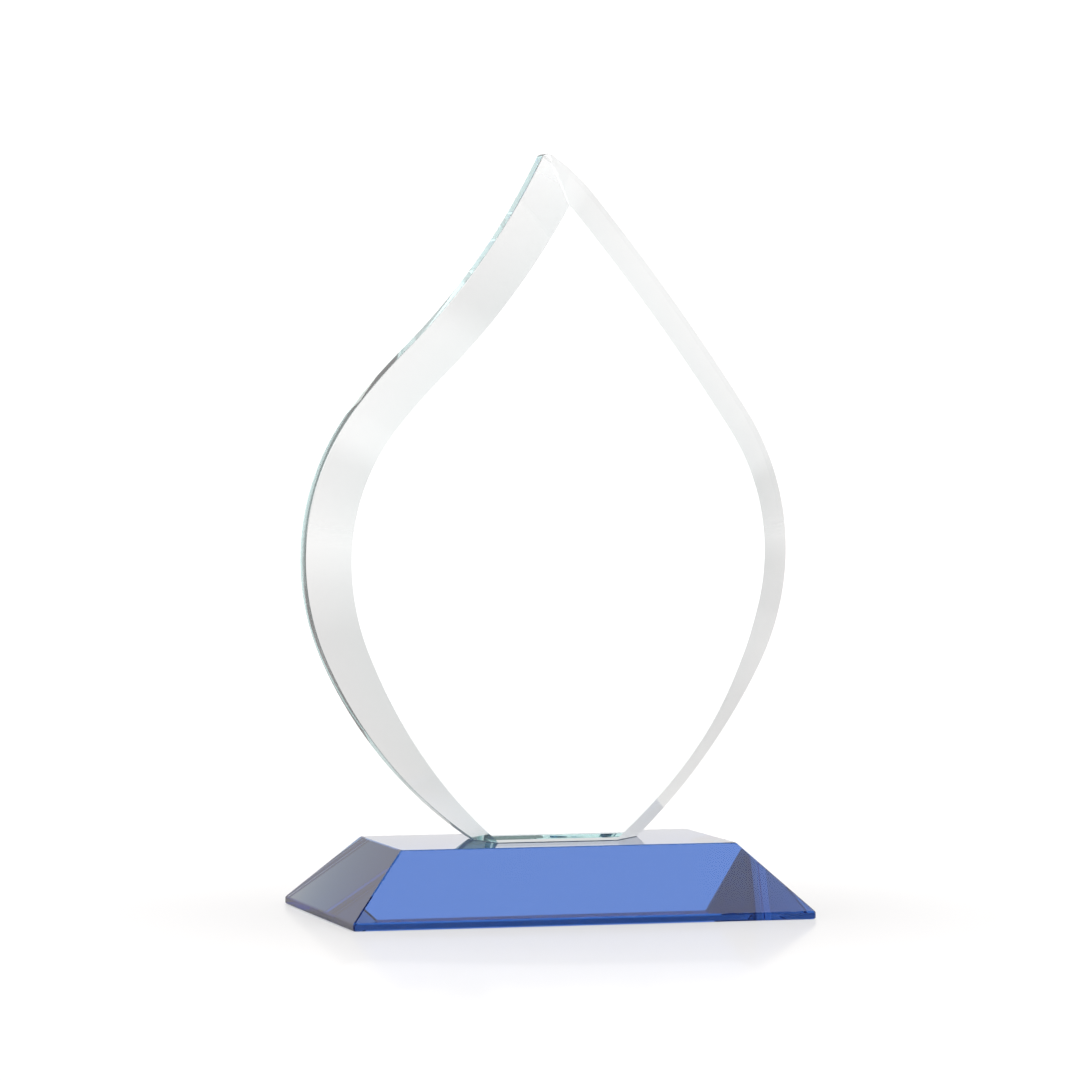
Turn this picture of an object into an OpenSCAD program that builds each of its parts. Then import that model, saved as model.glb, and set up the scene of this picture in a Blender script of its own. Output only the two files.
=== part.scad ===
// Flame award: a clear bevelled flame plate bonded upright on a blue bevelled block.
// Millimetres, +Z up. The front looks along -Y and the origin is the middle of the block's underside.

/* [Base block] */
// Length of the block along X
base_l = 130; // [115:1:160]
// Depth of the block along Y
base_w = 82; // [76:1:110]
// Height of the block
base_h = 20; // [17:0.5:30]
// Height of the upright rim below the bevels
rim_h = 2; // [1.5:0.5:5]
// Width of the bevels on all four sides, measured flat
base_bevel = 17.5; // [12:0.5:22]
// Face width of the ground chamfers on the block's corners and underside
base_arris = 0.6; // [0.3:0.1:1.2]

/* [Bond] */
// Thickness of the cured adhesive film under the flame
bond_t = 0.15; // [0.1:0.05:0.4]

/* [Flame plate] */
// Thickness of the plate the flame is cut from
plate_t = 19.05; // [17:0.05:25]
// Depth of the small chamfer round the back face and the foot
plate_arris = 0.8; // [0.4:0.1:1.2]
// Height of the chamfer along the front and back of the foot
foot_arris = 0.8; // [0.4:0.1:0.9]

/* [Front bevel] */
// Full width of the front bevel, measured flat
bevel_w = 10.15; // [8:0.05:11]
// Depth of the front bevel into the plate
bevel_d = 12.25; // [9:0.05:14]
// Width the bevel narrows to at the left of the foot
left_foot_w = 2.7; // [1.8:0.1:3.5]
// Height over which the left bevel widens from the foot
left_run = 90; // [75:1:110]
// How early in that height the left bevel does most of its widening
left_haste = 2.8; // [2:0.1:3.5]
// Width the bevel narrows to at the right of the foot
right_foot_w = 6.6; // [4:0.1:8]
// Height over which the right bevel widens from the foot
right_run = 62; // [50:1:80]
// How slowly the right bevel starts to widen
right_ease = 4; // [1:0.5:5]

/* [Flame tip] */
// Sideways position of the centre of the tip's rounding
tip_x = 1.1; // [-1:0.1:3]
// Height of the centre of the tip's rounding above the foot
tip_rise = 187.5; // [184:0.1:191]
// Radius of the tip's rounding
tip_r = 2; // [1:0.1:3]

/* [Left side, from the tip down] */
// Lean of the left side at the tip, from upright
left_lean = 26.1; // [25:0.1:27]
// Radius of the hollow sweep below the tip
left_r1 = 190; // [180:1:200]
// Turn of the hollow sweep
left_turn1 = 19.7; // [19:0.1:20.5]
// Radius of the shoulder
left_r2 = 170; // [150:1:190]
// Turn of the shoulder
left_turn2 = 7.1; // [6.5:0.1:7.7]
// Radius of the widest part
left_r3 = 68; // [66:0.5:70]
// Turn of the widest part
left_turn3 = 63; // [60:0.5:66]
// Radius of the sweep into the foot
left_r4 = 120; // [110:1:135]

/* [Right side, from the tip down] */
// Lean of the right side at the tip, from upright
right_lean = 57.2; // [56:0.1:58]
// Radius of the curve below the tip
right_r1 = 52; // [48:0.5:56]
// Turn of the curve below the tip
right_turn1 = 17.4; // [16.5:0.1:18]
// Radius of the long shoulder
right_r2 = 660; // [620:5:700]
// Turn of the long shoulder
right_turn2 = 6.5; // [6:0.1:7]
// Radius of the widest part
right_r3 = 71; // [69:0.5:73]
// Turn of the widest part
right_turn3 = 60.2; // [58:0.2:62]
// Radius of the sweep into the foot
right_r4 = 172; // [155:1:190]

/* [Hidden] */
LEFT = -1;
RIGHT = 1;
// Longest chord used along the flame's curves
chord = 3;
// Cutting blocks reach this far past the body they trim
reach = 20;

bevel_rise = base_h - rim_h;
side_tilt = atan2(base_bevel, bevel_rise);
corner_tilt = atan2(base_bevel * sqrt(2), bevel_rise);
// Half the angle between the outward faces of two neighbouring bevels
corner_half = acos(pow(sin(side_tilt), 2)) / 2;
half_l = base_l / 2;
half_w = base_w / 2;

foot_z = base_h + bond_t;
back_y = plate_t / 2;
front_y = -plate_t / 2;
wall_back_y = back_y - plate_arris;
wall_front_y = front_y + bevel_d;
foot_front_y = front_y + plate_arris;
tip_c = [tip_x, foot_z + tip_rise];

// Outward direction of an edge that leans by this angle
function out(side, lean) = [side * cos(lean), sin(lean)];
// Station on an arc: position, then lean
function on_arc(side, arc, lean) = concat(arc[0] + arc[1] * out(side, lean), lean);
// Arcs as [centre, radius, first lean, last lean]; a hollow arc has a negative radius
function arcs_from(side, c, r, lean, list, i = 0) =
    i == len(list) ? [] :
    let (
        next_c = c + (r - list[i][0]) * out(side, lean),
        last = is_undef(list[i][1])
            ? asin((foot_z - next_c[1]) / list[i][0])
            : lean - sign(list[i][0]) * list[i][1]
    )
    concat([[next_c, list[i][0], lean, last]], arcs_from(side, next_c, list[i][0], last, list, i + 1));
// Stations along part of an arc, without its first one
function walk(side, arc, from, to) =
    let (n = ceil(abs(arc[1] * (to - from)) * PI / 180 / chord))
    [for (k = [1:n]) on_arc(side, arc, from + (to - from) * k / n)];
function walk_all(side, arcs, i) =
    i == len(arcs) ? [] :
    concat(walk(side, arcs[i], arcs[i][2], arcs[i][3]), walk_all(side, arcs, i + 1));
function reversed(list) = [for (i = [len(list) - 1:-1:0]) list[i]];

left_arcs = arcs_from(LEFT, tip_c, tip_r, left_lean,
    [[-left_r1, left_turn1], [left_r2, left_turn2], [left_r3, left_turn3], [left_r4, undef]]);
right_arcs = arcs_from(RIGHT, tip_c, tip_r, right_lean,
    [[right_r1, right_turn1], [right_r2, right_turn2], [right_r3, right_turn3], [right_r4, undef]]);

// The two bevels meet along a mitre line, where the first arcs cross when both are inset by the same amount
left_c = left_arcs[0][0];
right_c = right_arcs[0][0];
apart = norm(left_c - right_c);
toward = (left_c - right_c) / apart;
function crossing(inset) =
    let (
        left = left_r1 + inset,
        right = right_r1 - inset,
        along = (pow(right, 2) - pow(left, 2) + pow(apart, 2)) / (2 * apart)
    )
    right_c + along * toward + sqrt(pow(right, 2) - pow(along, 2)) * [toward[1], -toward[0]];
mitre_steps = 4;
mitre_insets = [for (k = [0:mitre_steps]) tip_r + (bevel_w - tip_r) * k / mitre_steps];
mitre_line = [for (inset = mitre_insets) crossing(inset)];
right_leans = [for (p = mitre_line) atan2(p[1] - right_c[1], p[0] - right_c[0])];
left_leans = [for (p = mitre_line) atan2(left_c[1] - p[1], p[0] - left_c[0])];

// Stations from the foot up to the mitre, round the tip and down again
right_low = concat(walk(RIGHT, right_arcs[0], right_leans[mitre_steps], right_arcs[0][3]),
    walk_all(RIGHT, right_arcs, 1));
left_low = concat(walk(LEFT, left_arcs[0], left_leans[mitre_steps], left_arcs[0][3]),
    walk_all(LEFT, left_arcs, 1));
right_tip = [for (lean = right_leans) on_arc(RIGHT, right_arcs[0], lean)];
left_tip = [for (lean = left_leans) on_arc(LEFT, left_arcs[0], lean)];
tip_turn = 180 - left_lean - right_lean;
tip_steps = 8;
tip_round = [for (k = [1:tip_steps - 1])
    on_arc(RIGHT, [tip_c, tip_r], right_lean + tip_turn * k / tip_steps)];
right_side = concat(reversed(right_low), reversed(right_tip), tip_round);
left_side = concat(left_tip, left_low);
n_right = len(right_side);
n = n_right + len(left_side);
first_mitre = len(right_low);
last_mitre = n - 1 - len(left_low);

function side_of(i) = i < n_right ? RIGHT : LEFT;
function station(i) = i < n_right ? right_side[i] : left_side[i - n_right];
function outline(i, inset) =
    [station(i)[0], station(i)[1]] - inset * out(side_of(i), station(i)[2]);
// Bevel width on each side at a height above the foot
function left_width(up) = bevel_w - (bevel_w - left_foot_w) * pow(max(0, 1 - up / left_run), left_haste);
function right_width(up) =
    right_foot_w + (bevel_w - right_foot_w) * pow(sin(90 * max(0, min(1, up / right_run))), right_ease);
function width_at(side, up) = side == RIGHT ? right_width(up) : left_width(up);
function bevel_at(i) = width_at(side_of(i), station(i)[1] - foot_z);
function at_depth(p, y) = [p[0], y, p[1]];
// Lean at which the curve inset from an arc comes down to a height
function lean_at(arc, inset, z) = asin((z - arc[0][1]) / (arc[1] - inset));
function foot_point(side, arc, inset, z) = arc[0] + (arc[1] - inset) * out(side, lean_at(arc, inset, z));
// Inset of the bevel's surface, a share of the way in, where it comes down to a height near the foot
function foot_inset(side, arc, share, z, inset, rounds) =
    rounds == 0 ? inset :
    let (up = arc[0][1] + arc[1] * sin(lean_at(arc, inset, z)) - foot_z)
    foot_inset(side, arc, share, z, share * width_at(side, up), rounds - 1);
function foot_edge(share, z, y) = [for (end = [[RIGHT, right_arcs[3]], [LEFT, left_arcs[3]]])
    at_depth(foot_point(end[0], end[1], foot_inset(end[0], end[1], share, z, 0, foot_rounds), z), y)];

// Rounds in which the bevel's inset at the foot settles
foot_rounds = 6;
foot_top = foot_z + foot_arris;
back_ring = concat(
    [at_depth(foot_point(RIGHT, right_arcs[3], plate_arris, foot_top), back_y)],
    [for (i = [1:n - 2]) at_depth(outline(i, plate_arris), back_y)],
    [at_depth(foot_point(LEFT, left_arcs[3], plate_arris, foot_top), back_y)]
);
wall_back_ring = [for (i = [0:n - 1]) at_depth(outline(i, 0), wall_back_y)];
wall_front_ring = [for (i = [0:n - 1]) at_depth(outline(i, 0), wall_front_y)];
face_ends = foot_edge(1, foot_top, front_y);
face_ring = concat(
    [face_ends[0]],
    [for (i = [0:first_mitre - 1]) at_depth(outline(i, bevel_at(i)), front_y)],
    [at_depth(mitre_line[mitre_steps], front_y)],
    [for (i = [last_mitre + 1:n - 1]) at_depth(outline(i, bevel_at(i)), front_y)],
    [face_ends[1]]
);
foot_corners = foot_edge(1 - plate_arris / bevel_d, foot_z, foot_front_y);
mitre_points = [for (k = [0:mitre_steps - 1])
    at_depth(mitre_line[k], wall_front_y - bevel_d * mitre_insets[k] / bevel_w)];

// First vertex of each ring in the flame's vertex list
back = 0;
wall_back = n;
wall_front = 2 * n;
face = 3 * n;
corner = face + len(face_ring);
mitre = corner + len(foot_corners);
function face_index(i) = face + 1 + min(i, first_mitre) + max(0, i - last_mitre);
// Vertex at the inner end of the bevel, on the mitre line or on the front face
function inner_index(i) =
    let (k = mitre_steps - min(i - first_mitre, last_mitre - i))
    k < mitre_steps ? mitre + max(0, k) : face_index(i);
function two(a, b, c, d) = [[a, b, c], [a, c, d]];

flame_faces = concat(
    [[for (i = [0:n - 1]) back + i]],
    [for (i = [0:n - 2]) each two(back + i, wall_back + i, wall_back + i + 1, back + i + 1)],
    [for (i = [0:n - 2]) [wall_back + i, wall_front + i, wall_front + i + 1, wall_back + i + 1]],
    [for (i = [0:n - 2]) each inner_index(i) == inner_index(i + 1)
        ? [[wall_front + i, inner_index(i), wall_front + i + 1]]
        : two(wall_front + i, inner_index(i), inner_index(i + 1), wall_front + i + 1)],
    [[for (i = [len(face_ring) - 1:-1:0]) face + i]],
    two(wall_front, corner, face, face + 1),
    two(wall_front + n - 1, face + len(face_ring) - 2, face + len(face_ring) - 1, corner + 1),
    [[corner, corner + 1, face + len(face_ring) - 1, face]],
    [[back, back + n - 1, wall_back + n - 1, wall_back]],
    [[wall_back, wall_back + n - 1, wall_front + n - 1, corner + 1, corner, wall_front]]
);

module flame_plate() {
    color([0.88, 0.95, 0.94, 0.45])
        polyhedron(
            points = concat(back_ring, wall_back_ring, wall_front_ring, face_ring, foot_corners, mitre_points),
            faces = flame_faces,
            convexity = 4
        );
}

// The film fills the gap under the whole of the flame's foot
module bond_film() {
    foot_outline = [
        wall_back_ring[0],
        wall_back_ring[n - 1],
        wall_front_ring[n - 1],
        foot_corners[1],
        foot_corners[0],
        wall_front_ring[0]
    ];
    color([0.92, 0.92, 0.85, 0.5])
        translate([0, 0, base_h])
            linear_extrude(bond_t)
                polygon([for (p = foot_outline) [p[0], p[1]]]);
}

// Block that trims away everything on the outer side of a tilted plane through a point
module trim(point, turn, tilt, depth) {
    translate(point)
        rotate([0, -tilt, turn])
            translate([-depth, -base_l, -reach])
                cube([2 * reach, 2 * base_l, base_h + 3 * reach]);
}

module base_block() {
    color([0.25, 0.42, 0.85, 0.7])
        difference() {
            translate([-half_l, -half_w, 0])
                cube([base_l, base_w, base_h]);
            for (s = [-1, 1]) {
                trim([s * half_l, 0, rim_h], s > 0 ? 0 : 180, side_tilt, 0);
                trim([0, s * half_w, rim_h], s * 90, side_tilt, 0);
                trim([s * half_l, 0, 0], s > 0 ? 0 : 180, -45, base_arris / 2);
                trim([0, s * half_w, 0], s * 90, -45, base_arris / 2);
            }
            for (sx = [-1, 1], sy = [-1, 1]) {
                trim([sx * half_l, sy * half_w, 0], atan2(sy, sx), 0, base_arris / 2);
                trim([sx * half_l, sy * half_w, rim_h], atan2(sy, sx), corner_tilt,
                    base_arris * tan(corner_half) / 2);
            }
        }
}

base_block();
bond_film();
flame_plate();
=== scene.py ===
import math

import bmesh
import bpy
import numpy as np
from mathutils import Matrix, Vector


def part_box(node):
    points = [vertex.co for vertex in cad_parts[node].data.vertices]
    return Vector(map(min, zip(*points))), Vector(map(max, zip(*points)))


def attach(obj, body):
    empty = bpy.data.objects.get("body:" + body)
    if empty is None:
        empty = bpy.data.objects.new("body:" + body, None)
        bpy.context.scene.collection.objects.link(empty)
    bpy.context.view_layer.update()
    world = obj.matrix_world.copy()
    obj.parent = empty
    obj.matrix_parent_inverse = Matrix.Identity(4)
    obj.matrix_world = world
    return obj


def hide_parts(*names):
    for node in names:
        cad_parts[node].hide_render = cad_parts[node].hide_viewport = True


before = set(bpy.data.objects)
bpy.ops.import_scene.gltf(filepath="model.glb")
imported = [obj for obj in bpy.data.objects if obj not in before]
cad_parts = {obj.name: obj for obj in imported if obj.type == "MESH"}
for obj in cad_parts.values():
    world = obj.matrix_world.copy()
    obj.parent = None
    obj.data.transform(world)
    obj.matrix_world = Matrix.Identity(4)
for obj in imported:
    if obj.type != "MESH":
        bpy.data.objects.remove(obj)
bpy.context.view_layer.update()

MM = 0.001

base_lo, base_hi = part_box("base_block")
film_lo, film_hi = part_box("bond_film")
flame_lo, flame_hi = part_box("flame_plate")

# ---------------------------------------------------------------- sizes, in millimetres
BASE_L = (base_hi.x - base_lo.x) / MM
BASE_W = (base_hi.y - base_lo.y) / MM
BASE_H = base_hi.z / MM
RIM_H = 2.0
BASE_BEVEL = 17.5
# The block's ground edges: the leg of the one underneath, the reach of those at the rim and round the top,
# and the cut across each corner
EDGE = 0.35
RIM_DROP = 0.2
RIM_EDGE = 0.22
TOP_EDGE = 0.2
CORNER_CUT = 0.42
FOOT_Z = flame_lo.z / MM
PLATE_T = (flame_hi.y - flame_lo.y) / MM
PLATE_ARRIS = 0.8
FOOT_ARRIS = 0.8
KNEE_ROUND = 0.5
KNEE_STEPS = 6
BEVEL_W = 10.15
BEVEL_D = 12.25
# The bevel's width at each side's foot (-1 left, 1 right) and the height over which it reaches its full width
FOOT_W = {-1: 2.7, 1: 6.6}
RUN = {-1: 90.0, 1: 62.0}
LEFT_HASTE = 2.8
RIGHT_EASE = 4.0
TIP = np.array([1.1, FOOT_Z + 187.5])
TIP_R = 2.0
TIP_STEPS = 36
LEAN = {-1: 26.1, 1: 57.2}
# Radius and turn of each arc from the tip down; a hollow arc has a negative radius
ARCS = {-1: [(-190, 19.7), (170, 7.1), (68, 63.0), (120, None)],
        1: [(52, 17.4), (660, 6.5), (71, 60.2), (172, None)]}
LAST_ARC = 3
CHORD = 0.7
MITRE_STEPS = 12
MITRE_FLAT = 0.45
MITRE_TAPER = 0.3
SHARP_ANGLE = 5
FOOT_ROUNDS = 6
# The film stays clear of both glass faces and is drawn in from the foot's edge
FILM_GAP = 0.012
FILM_SHOULDER = 0.05
FILM_FACE_INSET = 0.45
FILM_INSET = 0.3


def sind(a):
    return math.sin(math.radians(a))


def cosd(a):
    return math.cos(math.radians(a))


# ---------------------------------------------------------------- flame outline
def out(side, lean):
    """The outward direction of an edge on one side that leans by this angle."""
    return np.array([side * cosd(lean), sind(lean)])


def arcs_from(side):
    """Centre, radius, first and last lean of each arc of one side, each tangent to the one above."""
    c, r, lean, made = TIP, TIP_R, LEAN[side], []
    for radius, turn in ARCS[side]:
        c = c + (r - radius) * out(side, lean)
        if turn is None:
            last = math.degrees(math.asin((FOOT_Z - c[1]) / radius))
        else:
            last = lean - math.copysign(turn, radius)
        made.append((c, radius, lean, last))
        r, lean = radius, last
    return made


def walk(side, arc, start, end):
    """Stations (x, z, lean, side) along part of an arc, without its first one."""
    n = max(2, math.ceil(abs(arc[1] * math.radians(end - start)) / CHORD))
    leans = [start + (end - start) * k / n for k in range(1, n + 1)]
    return [(*(arc[0] + arc[1] * out(side, a)), a, side) for a in leans]


arcs = {s: arcs_from(s) for s in (-1, 1)}


def crossing(w):
    """Where the two first arcs cross when both are inset by w: a point of the mitre line."""
    cl, cr = arcs[-1][0][0], arcs[1][0][0]
    rl, rr = -arcs[-1][0][1] + w, arcs[1][0][1] - w
    apart = np.linalg.norm(cl - cr)
    along = (rr ** 2 - rl ** 2 + apart ** 2) / (2 * apart)
    across = math.sqrt(rr ** 2 - along ** 2)
    to = (cl - cr) / apart
    return cr + along * to + across * np.array([to[1], -to[0]])


mitre_insets = [TIP_R + (BEVEL_W - TIP_R) * k / MITRE_STEPS for k in range(MITRE_STEPS + 1)]
mitre_line = [crossing(w) for w in mitre_insets]


def mitre_lean(side, p):
    """The lean of the first arc's edge beside a point of the mitre line."""
    to = p - arcs[side][0][0]
    return math.degrees(math.atan2(side * to[1], to[0]))


def branch(side):
    """One side's stations from the tip down: those beside the mitre line, then the rest."""
    first = arcs[side][0]
    leans = [mitre_lean(side, p) for p in mitre_line]
    high = [(*(first[0] + first[1] * out(side, a)), a, side) for a in leans]
    low = walk(side, first, leans[-1], first[3])
    for a in arcs[side][1:]:
        low += walk(side, a, a[2], a[3])
    return high, low


high_r, low_r = branch(1)
high_l, low_l = branch(-1)
turn = 180 - LEAN[-1] - LEAN[1]
tip_leans = [LEAN[1] + turn * k / TIP_STEPS for k in range(1, TIP_STEPS)]
rounding = [(*(TIP + TIP_R * out(1, a)), a, 1) for a in tip_leans]
stations = low_r[::-1] + high_r[::-1] + rounding + high_l + low_l
first_mitre = len(low_r)
last_mitre = len(stations) - 1 - len(low_l)


def inset(st, w):
    """The point a distance w in from a station of the outline."""
    return np.array(st[:2]) - w * out(st[3], st[2])


def width_at(side, z):
    """The bevel's width at a height: the left one widens early above the foot, the right one late."""
    up = (z - FOOT_Z) / RUN[side]
    if side < 0:
        return BEVEL_W - (BEVEL_W - FOOT_W[side]) * max(0.0, 1 - up) ** LEFT_HASTE
    return FOOT_W[side] + (BEVEL_W - FOOT_W[side]) * sind(90 * min(1.0, max(0.0, up))) ** RIGHT_EASE


def bevel_at(st):
    return width_at(st[3], st[1])


def foot_point(side, w, z):
    """Where the curve inset by w from the last arc comes down to a height."""
    c, r = arcs[side][LAST_ARC][0], arcs[side][LAST_ARC][1] - w
    return c + r * out(side, math.degrees(math.asin((z - c[1]) / r)))


def foot_edge(side, share, z):
    """Where the bevel's surface, a share of the way in, comes down to a height near the foot."""
    c, r = arcs[side][LAST_ARC][:2]
    w = 0.0
    for _ in range(FOOT_ROUNDS):
        w = share * width_at(side, c[1] + r * (z - c[1]) / (r - w))
    return foot_point(side, w, z)


# ---------------------------------------------------------------- mesh helpers
def new_object(name, verts, faces, smooth=None):
    """An object from points in millimetres; smooth is the angle in degrees below which an edge is smooth."""
    mesh = bpy.data.meshes.new(name)
    mesh.from_pydata([tuple(float(c) * MM for c in v) for v in verts], [], faces)
    mesh.validate()
    if smooth is not None:
        mesh.polygons.foreach_set("use_smooth", [True] * len(mesh.polygons))
        mesh.update()
        mesh.set_sharp_from_angle(angle=math.radians(smooth))
    ob = bpy.data.objects.new(name, mesh)
    bpy.context.scene.collection.objects.link(ob)
    return ob


def ring_band(a, b, n):
    """The faces between two open rows of n vertices that start at a and b."""
    return [(a + i, b + i, b + i + 1, a + i + 1) for i in range(n - 1)]


def stacked(rings, sides):
    """The faces of a closed solid made of stacked rings: its bottom, its walls, then its top."""
    faces = [tuple(range(sides))[::-1]]
    for k in range(rings - 1):
        a, b = sides * k, sides * (k + 1)
        faces += [(a + i, a + (i + 1) % sides, b + (i + 1) % sides, b + i) for i in range(sides)]
    faces.append(tuple(range(sides * (rings - 1), sides * rings)))
    return faces


# ---------------------------------------------------------------- flame plate
def bend(a, b, c, count):
    """A rounded corner: points along the curve that leaves a towards b and arrives at c."""
    steps = [k / count for k in range(count + 1)]
    return [(1 - u) ** 2 * a + 2 * u * (1 - u) * b + u ** 2 * c for u in steps]


def section(w):
    """Inset and depth of points from the plate's back edge, over the knee, to the start of the bevel."""
    heel = np.array([0.0, PLATE_T / 2 - PLATE_ARRIS])
    knee = np.array([0.0, BEVEL_D - PLATE_T / 2])
    slope = np.array([w, -BEVEL_D]) / math.hypot(w, BEVEL_D)
    return [heel] + bend(knee + np.array([0, KNEE_ROUND]), knee, knee + KNEE_ROUND * slope, KNEE_STEPS)


def build_flame():
    back, front = PLATE_T / 2, -PLATE_T / 2
    n = len(stations)
    top = FOOT_Z + FOOT_ARRIS
    v, f, rings = [], [], []

    def ring(points):
        rings.append(len(v))
        v.extend(points)

    def outer_ring(pairs):
        """One ring of the edge from each station's inset and depth, cut level at the foot."""
        points = []
        for k, (s, (w, y)) in enumerate(zip(stations, pairs)):
            p = foot_point(s[3], w, FOOT_Z) if k in (0, n - 1) else inset(s, w)
            points.append((p[0], y, p[1]))
        ring(points)

    sections = [section(bevel_at(s)) for s in stations]
    e = foot_point(1, PLATE_ARRIS, top), foot_point(-1, PLATE_ARRIS, top)
    back_edge = [e[0]] + [inset(s, PLATE_ARRIS) for s in stations[1:-1]] + [e[1]]
    ring([(p[0], back, p[1]) for p in back_edge])
    for pairs in zip(*sections):
        outer_ring(pairs)
    face_r, face_l = foot_edge(1, 1.0, top), foot_edge(-1, 1.0, top)
    face = ([face_r] + [inset(s, bevel_at(s)) for s in stations[:first_mitre]] + [mitre_line[-1]]
            + [inset(s, bevel_at(s)) for s in stations[last_mitre + 1:]] + [face_l])
    r_face = len(v)
    v.extend((p[0], front, p[1]) for p in face)
    share = 1 - PLATE_ARRIS / BEVEL_D
    corner = len(v)
    for side in (1, -1):
        p = foot_edge(side, share, FOOT_Z)
        v.append((p[0], front + PLATE_ARRIS, p[1]))
    # The ridge between the two bevels is ground to a narrow flat that closes at both ends
    ridge = {}
    for side in (1, -1):
        for k in range(MITRE_STEPS):
            w = mitre_insets[k] - MITRE_FLAT * min(1.0, k / 2) * (1 - k / MITRE_STEPS) ** MITRE_TAPER
            i = first_mitre + MITRE_STEPS - k if side > 0 else last_mitre - MITRE_STEPS + k
            p = inset(stations[i], w)
            if k > 0 or side > 0:
                ridge[side, k] = len(v)
                v.append((p[0], front + BEVEL_D * (1 - w / BEVEL_W), p[1]))

    def inner(i):
        """The vertex at the inner end of a station's bevel: on the mitre line or on the front face."""
        k = MITRE_STEPS - min(i - first_mitre, last_mitre - i)
        if k >= MITRE_STEPS:
            return r_face + 1 + min(i, first_mitre) + max(0, i - last_mitre)
        side = -1 if last_mitre - i < i - first_mitre else 1
        return ridge[side, k] if k > 0 else ridge[1, 0]

    last = r_face + len(face) - 1
    r_back, r_front = rings[0], rings[-1]
    f.append(tuple(range(r_back, r_back + n))[::-1])
    for a, b in zip(rings, rings[1:]):
        f += ring_band(a, b, n)
    for i in range(n - 1):
        if inner(i) == inner(i + 1):
            f.append((r_front + i, inner(i), r_front + i + 1))
        else:
            f.append((r_front + i, inner(i), inner(i + 1), r_front + i + 1))
    right = [inner(i) for i in range(first_mitre, first_mitre + MITRE_STEPS)]
    left = [inner(i) for i in range(last_mitre, last_mitre - MITRE_STEPS, -1)]
    f.append((right[0], left[1], right[1]))
    f += [(right[k], left[k], left[k + 1], right[k + 1]) for k in range(1, MITRE_STEPS - 1)]
    f.append((right[-1], left[-1], ridge[1, 0]))
    f.append(tuple(range(r_face, last + 1)))
    f.append((r_front, corner, r_face, r_face + 1))
    f.append((r_front + n - 1, last - 1, last, corner + 1))
    f.append((corner, corner + 1, last, r_face))
    f.append((r_back, r_back + n - 1, rings[1] + n - 1, rings[1]))
    sole = (*rings[1:], corner, corner + 1, *(r + n - 1 for r in rings[:0:-1]))
    f.append(sole)
    ob = new_object("flame_crystal", v, f, smooth=SHARP_ANGLE)
    bm = bmesh.new()
    bm.from_mesh(ob.data)
    bmesh.ops.recalc_face_normals(bm, faces=bm.faces)
    bm.to_mesh(ob.data)
    bm.free()
    return ob


# ---------------------------------------------------------------- base block
def build_base():
    """The bevelled block as stacked eight-sided rings, with a fine ground edge at every change of face."""
    slope = (BASE_H - RIM_H) / BASE_BEVEL
    rings = [(EDGE, 0.0), (0.0, EDGE), (0.0, RIM_H - RIM_DROP), (RIM_EDGE, RIM_H + RIM_EDGE * slope),
             (BASE_BEVEL - TOP_EDGE, BASE_H - TOP_EDGE * slope), (BASE_BEVEL + TOP_EDGE, BASE_H)]
    v = []
    for inward, z in rings:
        hx, hy, c = BASE_L / 2 - inward, BASE_W / 2 - inward, CORNER_CUT
        for x, y in ((hx - c, -hy), (hx, -hy + c), (hx, hy - c), (hx - c, hy),
                     (-hx + c, hy), (-hx, hy - c), (-hx, -hy + c), (-hx + c, -hy)):
            v.append((x, y, z))
    return new_object("blue_block", v, stacked(len(rings), 8))


# ---------------------------------------------------------------- bond film
def build_film():
    """The cured film, just inside the foot's edge and a hair clear of both glass faces."""
    share = 1 - PLATE_ARRIS / BEVEL_D
    back, mid, front = PLATE_T / 2 - PLATE_ARRIS, -PLATE_T / 2 + BEVEL_D, -PLATE_T / 2 + PLATE_ARRIS
    right, left = foot_point(1, 0, FOOT_Z)[0], foot_point(-1, 0, FOOT_Z)[0]
    fr, fl = foot_edge(1, share, FOOT_Z)[0], foot_edge(-1, share, FOOT_Z)[0]
    outline = [(right, back), (left, back), (left, mid), (fl, front), (fr, front), (right, mid)]
    cx, cy = (right + left) / 2, (back + front) / 2
    rings = [(FILM_FACE_INSET, BASE_H + FILM_GAP), (FILM_INSET, BASE_H + FILM_SHOULDER),
             (FILM_INSET, FOOT_Z - FILM_SHOULDER), (FILM_FACE_INSET, FOOT_Z - FILM_GAP)]
    v = []
    for shrink, z in rings:
        for x, y in outline:
            v.append((x - math.copysign(shrink, x - cx), y - math.copysign(shrink, y - cy), z))
    return new_object("adhesive_film", v, stacked(len(rings), len(outline)))


# ---------------------------------------------------------------- materials
HAZE_SCALE = 38.0
HAZE_DETAIL = 4.0
HAZE_SPAN = (0.35, 0.75)
LAP_DETAIL = 3.0
LAP_STRENGTH = 0.012
LAP_DEPTH = 0.00002


def node(tree, kind, **values):
    """A new node with these settings."""
    made = tree.nodes.new(kind)
    for key, value in values.items():
        setattr(made, key, value)
    return made


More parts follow.
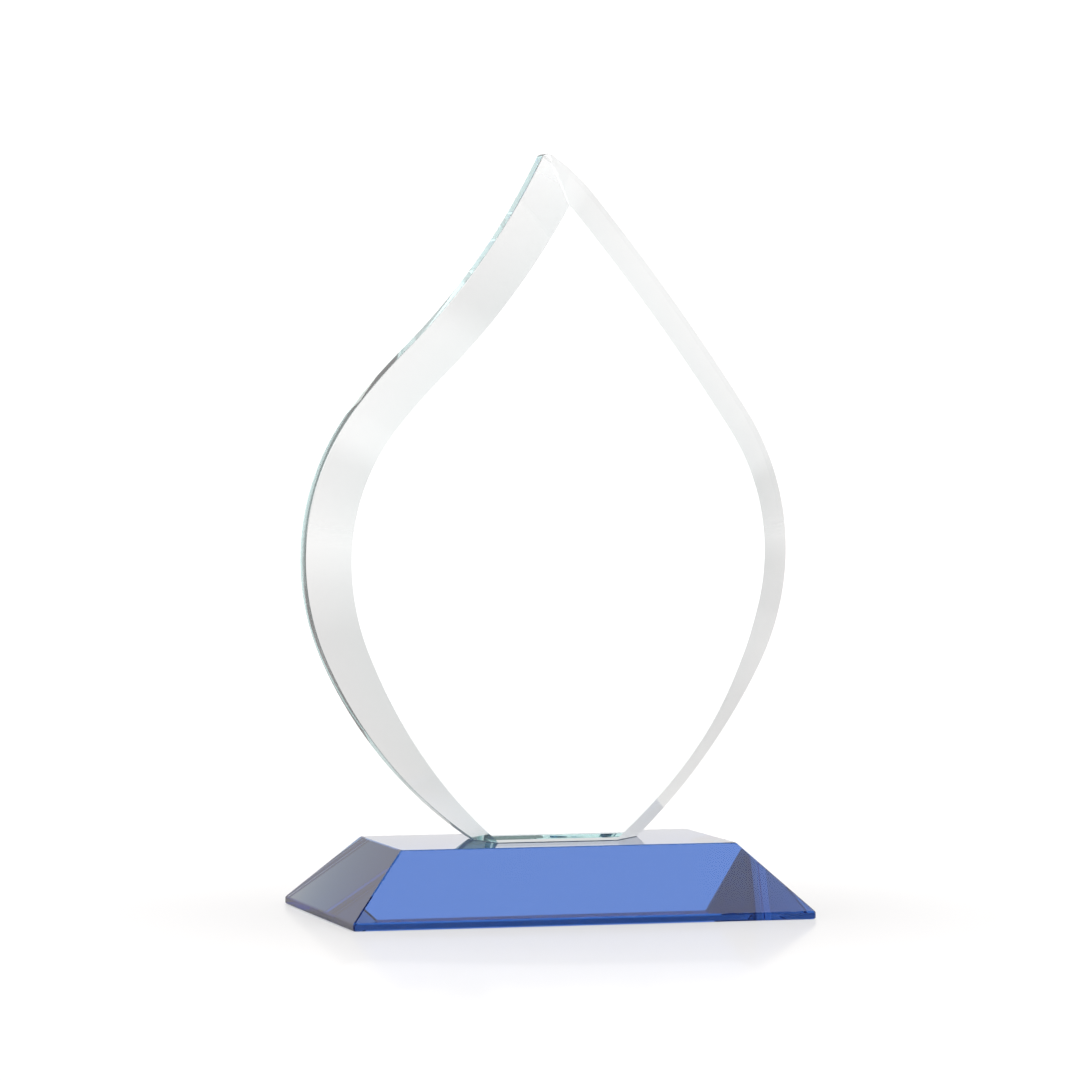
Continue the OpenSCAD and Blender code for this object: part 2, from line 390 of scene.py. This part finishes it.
def crystal(name, tint, ior, absorb, density, speck=240.0, rough=0.004, cloudy=0.0):
    """Polished optical glass: clear body with an absorbing volume, faint polish haze and fine lap marks."""
    mat = bpy.data.materials.new(name)
    mat.use_nodes = True
    tree = mat.node_tree
    tree.nodes.clear()
    link = tree.links.new
    shader = node(tree, "ShaderNodeBsdfPrincipled")
    shader.inputs["Transmission Weight"].default_value = 1.0 - cloudy
    shader.inputs["IOR"].default_value = ior
    shader.inputs["Base Color"].default_value = (*tint, 1)
    volume = node(tree, "ShaderNodeVolumeAbsorption")
    volume.inputs["Color"].default_value = (*absorb, 1)
    volume.inputs["Density"].default_value = density
    coords = node(tree, "ShaderNodeTexCoord")
    # Polish: a broad slow change in the haze left by the wheel
    haze = node(tree, "ShaderNodeTexNoise")
    haze.inputs["Scale"].default_value = HAZE_SCALE
    haze.inputs["Detail"].default_value = HAZE_DETAIL
    link(coords.outputs["Object"], haze.inputs["Vector"])
    span = node(tree, "ShaderNodeMapRange")
    span.inputs["From Min"].default_value = HAZE_SPAN[0]
    span.inputs["From Max"].default_value = HAZE_SPAN[1]
    span.inputs["To Min"].default_value = 0.0
    span.inputs["To Max"].default_value = rough
    link(haze.outputs["Fac"], span.inputs["Value"])
    link(span.outputs["Result"], shader.inputs["Roughness"])
    # Fine lap marks, too shallow to be seen one by one, that only soften the sharpest glints
    lap = node(tree, "ShaderNodeTexNoise")
    lap.inputs["Scale"].default_value = speck
    lap.inputs["Detail"].default_value = LAP_DETAIL
    link(coords.outputs["Object"], lap.inputs["Vector"])
    bump = node(tree, "ShaderNodeBump")
    bump.inputs["Strength"].default_value = LAP_STRENGTH
    bump.inputs["Distance"].default_value = LAP_DEPTH
    link(lap.outputs["Fac"], bump.inputs["Height"])
    link(bump.outputs["Normal"], shader.inputs["Normal"])
    surface = node(tree, "ShaderNodeOutputMaterial")
    link(shader.outputs["BSDF"], surface.inputs["Surface"])
    link(volume.outputs["Volume"], surface.inputs["Volume"])
    return mat


clear = crystal("clear_crystal", tint=(1, 1, 1), ior=1.53, absorb=(0.35, 0.80, 0.79), density=3.6)
blue = crystal("blue_crystal", tint=(1, 1, 1), ior=1.47, absorb=(0.02, 0.41, 0.80), density=46.0)
cured = crystal("clear_adhesive", tint=(0.97, 0.95, 0.90), ior=1.49, absorb=(0.9, 0.85, 0.6), density=40.0,
                speck=900.0, rough=0.5, cloudy=0.5)

flame = build_flame()
block = build_base()
film = build_film()
pieces = [(flame, clear, "flame_plate", "clear_crystal"), (block, blue, "base_block", "blue_crystal"),
          (film, cured, "bond_film", "clear_adhesive")]
for ob, mat, cad, slot in pieces:
    ob.data.materials.append(mat)
    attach(ob, "root")
    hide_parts(cad)

# ---------------------------------------------------------------- studio
# Each step in level below is given as where it starts and ends, then the level before and after it
AIM = Vector((0.2645, 0.9637, -0.035)).normalized()
BACKDROP_COLOUR = (1.02, 1.0, 0.995, 1)
BACK_LEVEL = 1.2
PAPER_TO_WALL = (-0.22, 0.12, 1.14, 0.775)
LEFT_TO_RIGHT = (-0.35, 0.60, 0.97, 1.0)
UPWARDS = [(0.30, 0.60, 0.0, 0.13), (0.66, 0.78, 0.0, -0.7), (0.87, 0.94, 0.0, 2.1)]
AHEAD = (0.955, 0.99, 0.0, 0.36)
BEHIND_CAMERA = (-0.66, -0.40, 0.4, 1.0)
FLAG_SIDE = (0.78, 0.90, 0.0, 0.95)
FLAG_TOP = (0.38, 0.55, 1.0, 0.0)

FLOOR_RADIUS = 1.6
FLOOR_RINGS = 16
FLOOR_SIDES = 96
FLOOR_SPACING = 1.5
FLOOR_DROP = 0.00002
CARD_COLOUR = (0.72, 0.72, 0.72, 1)
CARD_GLOSS = 0.2
CARD_ROUGHNESS = 0.11
# The card's painted glow: its base level, and the scale of the extra painted glow of the pool, the camera's
# view and the ring
PAINTED_FLOOR_GLOW = 0.12
PAINTED_EXTRA_GLOW = 0.30
# The painted pool of light along the camera's line
PAINTED_POOL_WIDENS = 0.07
PAINTED_POOL_EDGE = (0.035, 0.065, 1.5, 0.0)
PAINTED_POOL_START = (0.07, 0.16, 0.0, 1.0)
# A painted glow that only the camera sees, rising away from the block
PAINTED_CAMERA_GLOW = (0.07, 0.20, 0.98, 1.4)
# The painted brighter ring of glow further out
PAINTED_RING_START = (0.20, 0.34, 0.0, 1.0)
PAINTED_RING_END = (0.42, 0.52, 1.2, 0.68)
# Painted shade: where the card's base glow is cut close to the block
PAINTED_BLOCK_SHADE = (0.055, 0.12, 0.0, 1.0)
FLOOR_FADE = (0.35, 1.5, 0.0, 1.0)

# Place, size, level and colour of the two light cards
LIGHT_CARDS = {"upper_card": ((-0.040, 0.30, 0.2745), (0.050, 0.055), 1.18, (0.78, 1.0, 0.99)),
               "lower_card": ((-0.069, 0.30, 0.206), (0.022, 0.028), 1.1, (0.90, 1.0, 0.94))}
WATTS_PER_LEVEL = 4

CAMERA_PLACE = (-0.4444, -1.6120, 0.16276)
CAMERA_LOOK = Vector((0.26447, 0.96370, -0.03577))
SENSOR_WIDTH = 36.0
LENS = 201.77
FAR_CLIP = 200


def ramp(tree, value, start, end, at_start, at_end):
    """A smooth step from one level to another."""
    step = node(tree, "ShaderNodeMapRange", interpolation_type="SMOOTHSTEP")
    for key, number in (("From Min", start), ("From Max", end), ("To Min", at_start), ("To Max", at_end)):
        step.inputs[key].default_value = number
    tree.links.new(value, step.inputs["Value"])
    return step.outputs["Result"]


def maths(tree, operation, first, second):
    """A sum, product or the like of two numbers or sockets."""
    made = node(tree, "ShaderNodeMath", operation=operation)
    for socket, value in zip(made.inputs, (first, second)):
        if isinstance(value, (int, float)):
            socket.default_value = value
        else:
            tree.links.new(value, socket)
    return made.outputs["Value"]


def build_world():
    """The backdrop: its level changes slowly with direction, and the camera itself sees plain white."""
    world = bpy.data.worlds.new("studio")
    bpy.context.scene.world = world
    world.use_nodes = True
    tree = world.node_tree
    tree.nodes.clear()
    coords = node(tree, "ShaderNodeTexCoord")
    split = node(tree, "ShaderNodeSeparateXYZ")
    tree.links.new(coords.outputs["Generated"], split.inputs["Vector"])
    x, y, z = split.outputs["X"], split.outputs["Y"], split.outputs["Z"]
    toward = node(tree, "ShaderNodeVectorMath", operation="DOT_PRODUCT")
    toward.inputs[1].default_value = AIM
    tree.links.new(coords.outputs["Generated"], toward.inputs[0])
    # The paper below the horizon is a little brighter than the wall above it, and the ceiling is a soft light
    level = ramp(tree, z, *PAPER_TO_WALL)
    level = maths(tree, "MULTIPLY", level, ramp(tree, x, *LEFT_TO_RIGHT))
    for step in UPWARDS:
        level = maths(tree, "ADD", level, ramp(tree, z, *step))
    # The stretch of backdrop behind the award is the brightest
    level = maths(tree, "ADD", level, ramp(tree, toward.outputs["Value"], *AHEAD))
    # The room behind the camera is dark
    level = maths(tree, "MULTIPLY", level, ramp(tree, y, *BEHIND_CAMERA))
    # A black flag stands low on the right: it draws the crystal's edges
    flag = maths(tree, "MULTIPLY", ramp(tree, x, *FLAG_SIDE), ramp(tree, z, *FLAG_TOP))
    level = maths(tree, "MULTIPLY", level, maths(tree, "SUBTRACT", 1.0, flag))
    seen = node(tree, "ShaderNodeLightPath")
    pick = node(tree, "ShaderNodeMix", data_type="FLOAT")
    tree.links.new(seen.outputs["Is Camera Ray"], pick.inputs["Factor"])
    tree.links.new(level, pick.inputs["A"])
    pick.inputs["B"].default_value = BACK_LEVEL
    sky = node(tree, "ShaderNodeBackground")
    sky.inputs["Color"].default_value = BACKDROP_COLOUR
    tree.links.new(pick.outputs["Result"], sky.inputs["Strength"])
    surface = node(tree, "ShaderNodeOutputWorld")
    tree.links.new(sky.outputs["Background"], surface.inputs["Surface"])


def floor_mesh():
    """A disc whose rings lie closer together towards the middle."""
    sides = FLOOR_SIDES
    verts = [(0, 0, 0)]
    for k in range(1, FLOOR_RINGS + 1):
        r = FLOOR_RADIUS * (k / FLOOR_RINGS) ** FLOOR_SPACING
        turns = [math.tau * j / sides for j in range(sides)]
        verts += [(r * math.cos(a), r * math.sin(a), 0) for a in turns]
    faces = [(0, 1 + j, 1 + (j + 1) % sides) for j in range(sides)]
    for k in range(FLOOR_RINGS - 1):
        a, b = 1 + k * sides, 1 + (k + 1) * sides
        faces += [(a + j, b + j, b + (j + 1) % sides, a + (j + 1) % sides) for j in range(sides)]
    mesh = bpy.data.meshes.new("floor")
    mesh.from_pydata(verts, [], faces)
    return mesh


def painted_floor_glow(tree, coords, far):
    """How much painted glow, light of its own that stands in for lamplight, the card gives off at a distance
    from the award.
    """
    camera_ray = node(tree, "ShaderNodeLightPath").outputs["Is Camera Ray"]
    # A painted pool of light, glowing from the card itself, lies along the camera's line and widens away from
    # the award
    across = node(tree, "ShaderNodeVectorMath", operation="DOT_PRODUCT")
    across.inputs[1].default_value = (AIM.y, -AIM.x, 0)
    tree.links.new(coords.outputs["Object"], across.inputs[0])
    beside = maths(tree, "ABSOLUTE", across.outputs["Value"], 0.0)
    spread = maths(tree, "SUBTRACT", beside, maths(tree, "MULTIPLY", far, PAINTED_POOL_WIDENS))
    painted_pool = maths(tree, "MULTIPLY", ramp(tree, spread, *PAINTED_POOL_EDGE), ramp(tree, far, *PAINTED_POOL_START))
    # Camera rays alone see a painted glow that rises away from the block
    painted_direct_glow = maths(tree, "MULTIPLY", camera_ray, ramp(tree, far, *PAINTED_CAMERA_GLOW))
    # A painted brighter ring of glow, further out, is what the bevels look at
    ring = maths(tree, "MULTIPLY", ramp(tree, far, *PAINTED_RING_START), ramp(tree, far, *PAINTED_RING_END))
    painted_extra_glow = maths(tree, "MAXIMUM", maths(tree, "MAXIMUM", painted_pool, painted_direct_glow), ring)
    # Painted shade: close to the block the card's own glow is cut, as if it lay in the block's shade
    painted_block_shade = maths(tree, "MAXIMUM", camera_ray, ramp(tree, far, *PAINTED_BLOCK_SHADE))
    painted_extra_glow = maths(tree, "MULTIPLY", painted_extra_glow, PAINTED_EXTRA_GLOW)
    return maths(tree, "ADD", painted_extra_glow, maths(tree, "MULTIPLY", painted_block_shade, PAINTED_FLOOR_GLOW))


def build_floor():
    """A white card whose far part fades into the backdrop, so no horizon shows; it glows with painted light,
    with painted shade by the block.
    """
    mesh = floor_mesh()
    ob = bpy.data.objects.new("floor", mesh)
    bpy.context.scene.collection.objects.link(ob)
    ob.location.z = -FLOOR_DROP
    mat = bpy.data.materials.new("floor_card_painted_glow")
    mat.use_nodes = True
    tree = mat.node_tree
    tree.nodes.clear()
    link = tree.links.new
    coords = node(tree, "ShaderNodeTexCoord")
    away = node(tree, "ShaderNodeVectorMath", operation="LENGTH")
    link(coords.outputs["Object"], away.inputs[0])
    far = away.outputs["Value"]
    paper = node(tree, "ShaderNodeBsdfDiffuse")
    paper.inputs["Color"].default_value = CARD_COLOUR
    # The card's painted glow, added to the paper
    painted_glow = node(tree, "ShaderNodeEmission")
    link(painted_floor_glow(tree, coords, far), painted_glow.inputs["Strength"])
    paper_and_painted_glow = node(tree, "ShaderNodeAddShader")
    link(paper.outputs["BSDF"], paper_and_painted_glow.inputs[0])
    link(painted_glow.outputs["Emission"], paper_and_painted_glow.inputs[1])
    gloss = node(tree, "ShaderNodeBsdfAnisotropic")
    gloss.inputs["Roughness"].default_value = CARD_ROUGHNESS
    mix = node(tree, "ShaderNodeMixShader")
    mix.inputs["Fac"].default_value = CARD_GLOSS
    link(paper_and_painted_glow.outputs["Shader"], mix.inputs[1])
    link(gloss.outputs["BSDF"], mix.inputs[2])
    clear_end = node(tree, "ShaderNodeBsdfTransparent")
    fade = node(tree, "ShaderNodeMixShader")
    link(ramp(tree, far, *FLOOR_FADE), fade.inputs["Fac"])
    link(mix.outputs["Shader"], fade.inputs[1])
    link(clear_end.outputs["BSDF"], fade.inputs[2])
    surface = node(tree, "ShaderNodeOutputMaterial")
    link(fade.outputs["Shader"], surface.inputs["Surface"])
    mesh.materials.append(mat)


def light_card(name, place, size, level, colour):
    """A small lit card behind the award that shows in the polished wall on the flame's left."""
    data = bpy.data.lights.new(name, "AREA")
    data.shape = "RECTANGLE"
    data.size, data.size_y = size
    data.energy = WATTS_PER_LEVEL * level * size[0] * size[1]
    data.color = colour
    ob = bpy.data.objects.new(name, data)
    bpy.context.scene.collection.objects.link(ob)
    ob.location = place
    ob.rotation_euler = Vector((0, -1, 0)).to_track_quat("-Z", "Z").to_euler()
    ob.visible_camera = False


build_world()
build_floor()
for name, card in LIGHT_CARDS.items():
    light_card(name, *card)

# ---------------------------------------------------------------- camera
cam_data = bpy.data.cameras.new("camera")
cam_data.sensor_width = SENSOR_WIDTH
cam_data.lens = LENS
cam_data.clip_end = FAR_CLIP
cam = bpy.data.objects.new("camera", cam_data)
bpy.context.scene.collection.objects.link(cam)
cam.location = CAMERA_PLACE
cam.rotation_euler = CAMERA_LOOK.to_track_quat("-Z", "Y").to_euler()
bpy.context.scene.camera = cam

scene = bpy.context.scene
scene.view_settings.view_transform = "Standard"
scene.view_settings.look = "None"
scene.cycles.max_bounces = 24
scene.cycles.transmission_bounces = 24
scene.cycles.glossy_bounces = 16
scene.cycles.diffuse_bounces = 4
scene.cycles.transparent_max_bounces = 16

bpy.context.view_layer.update()
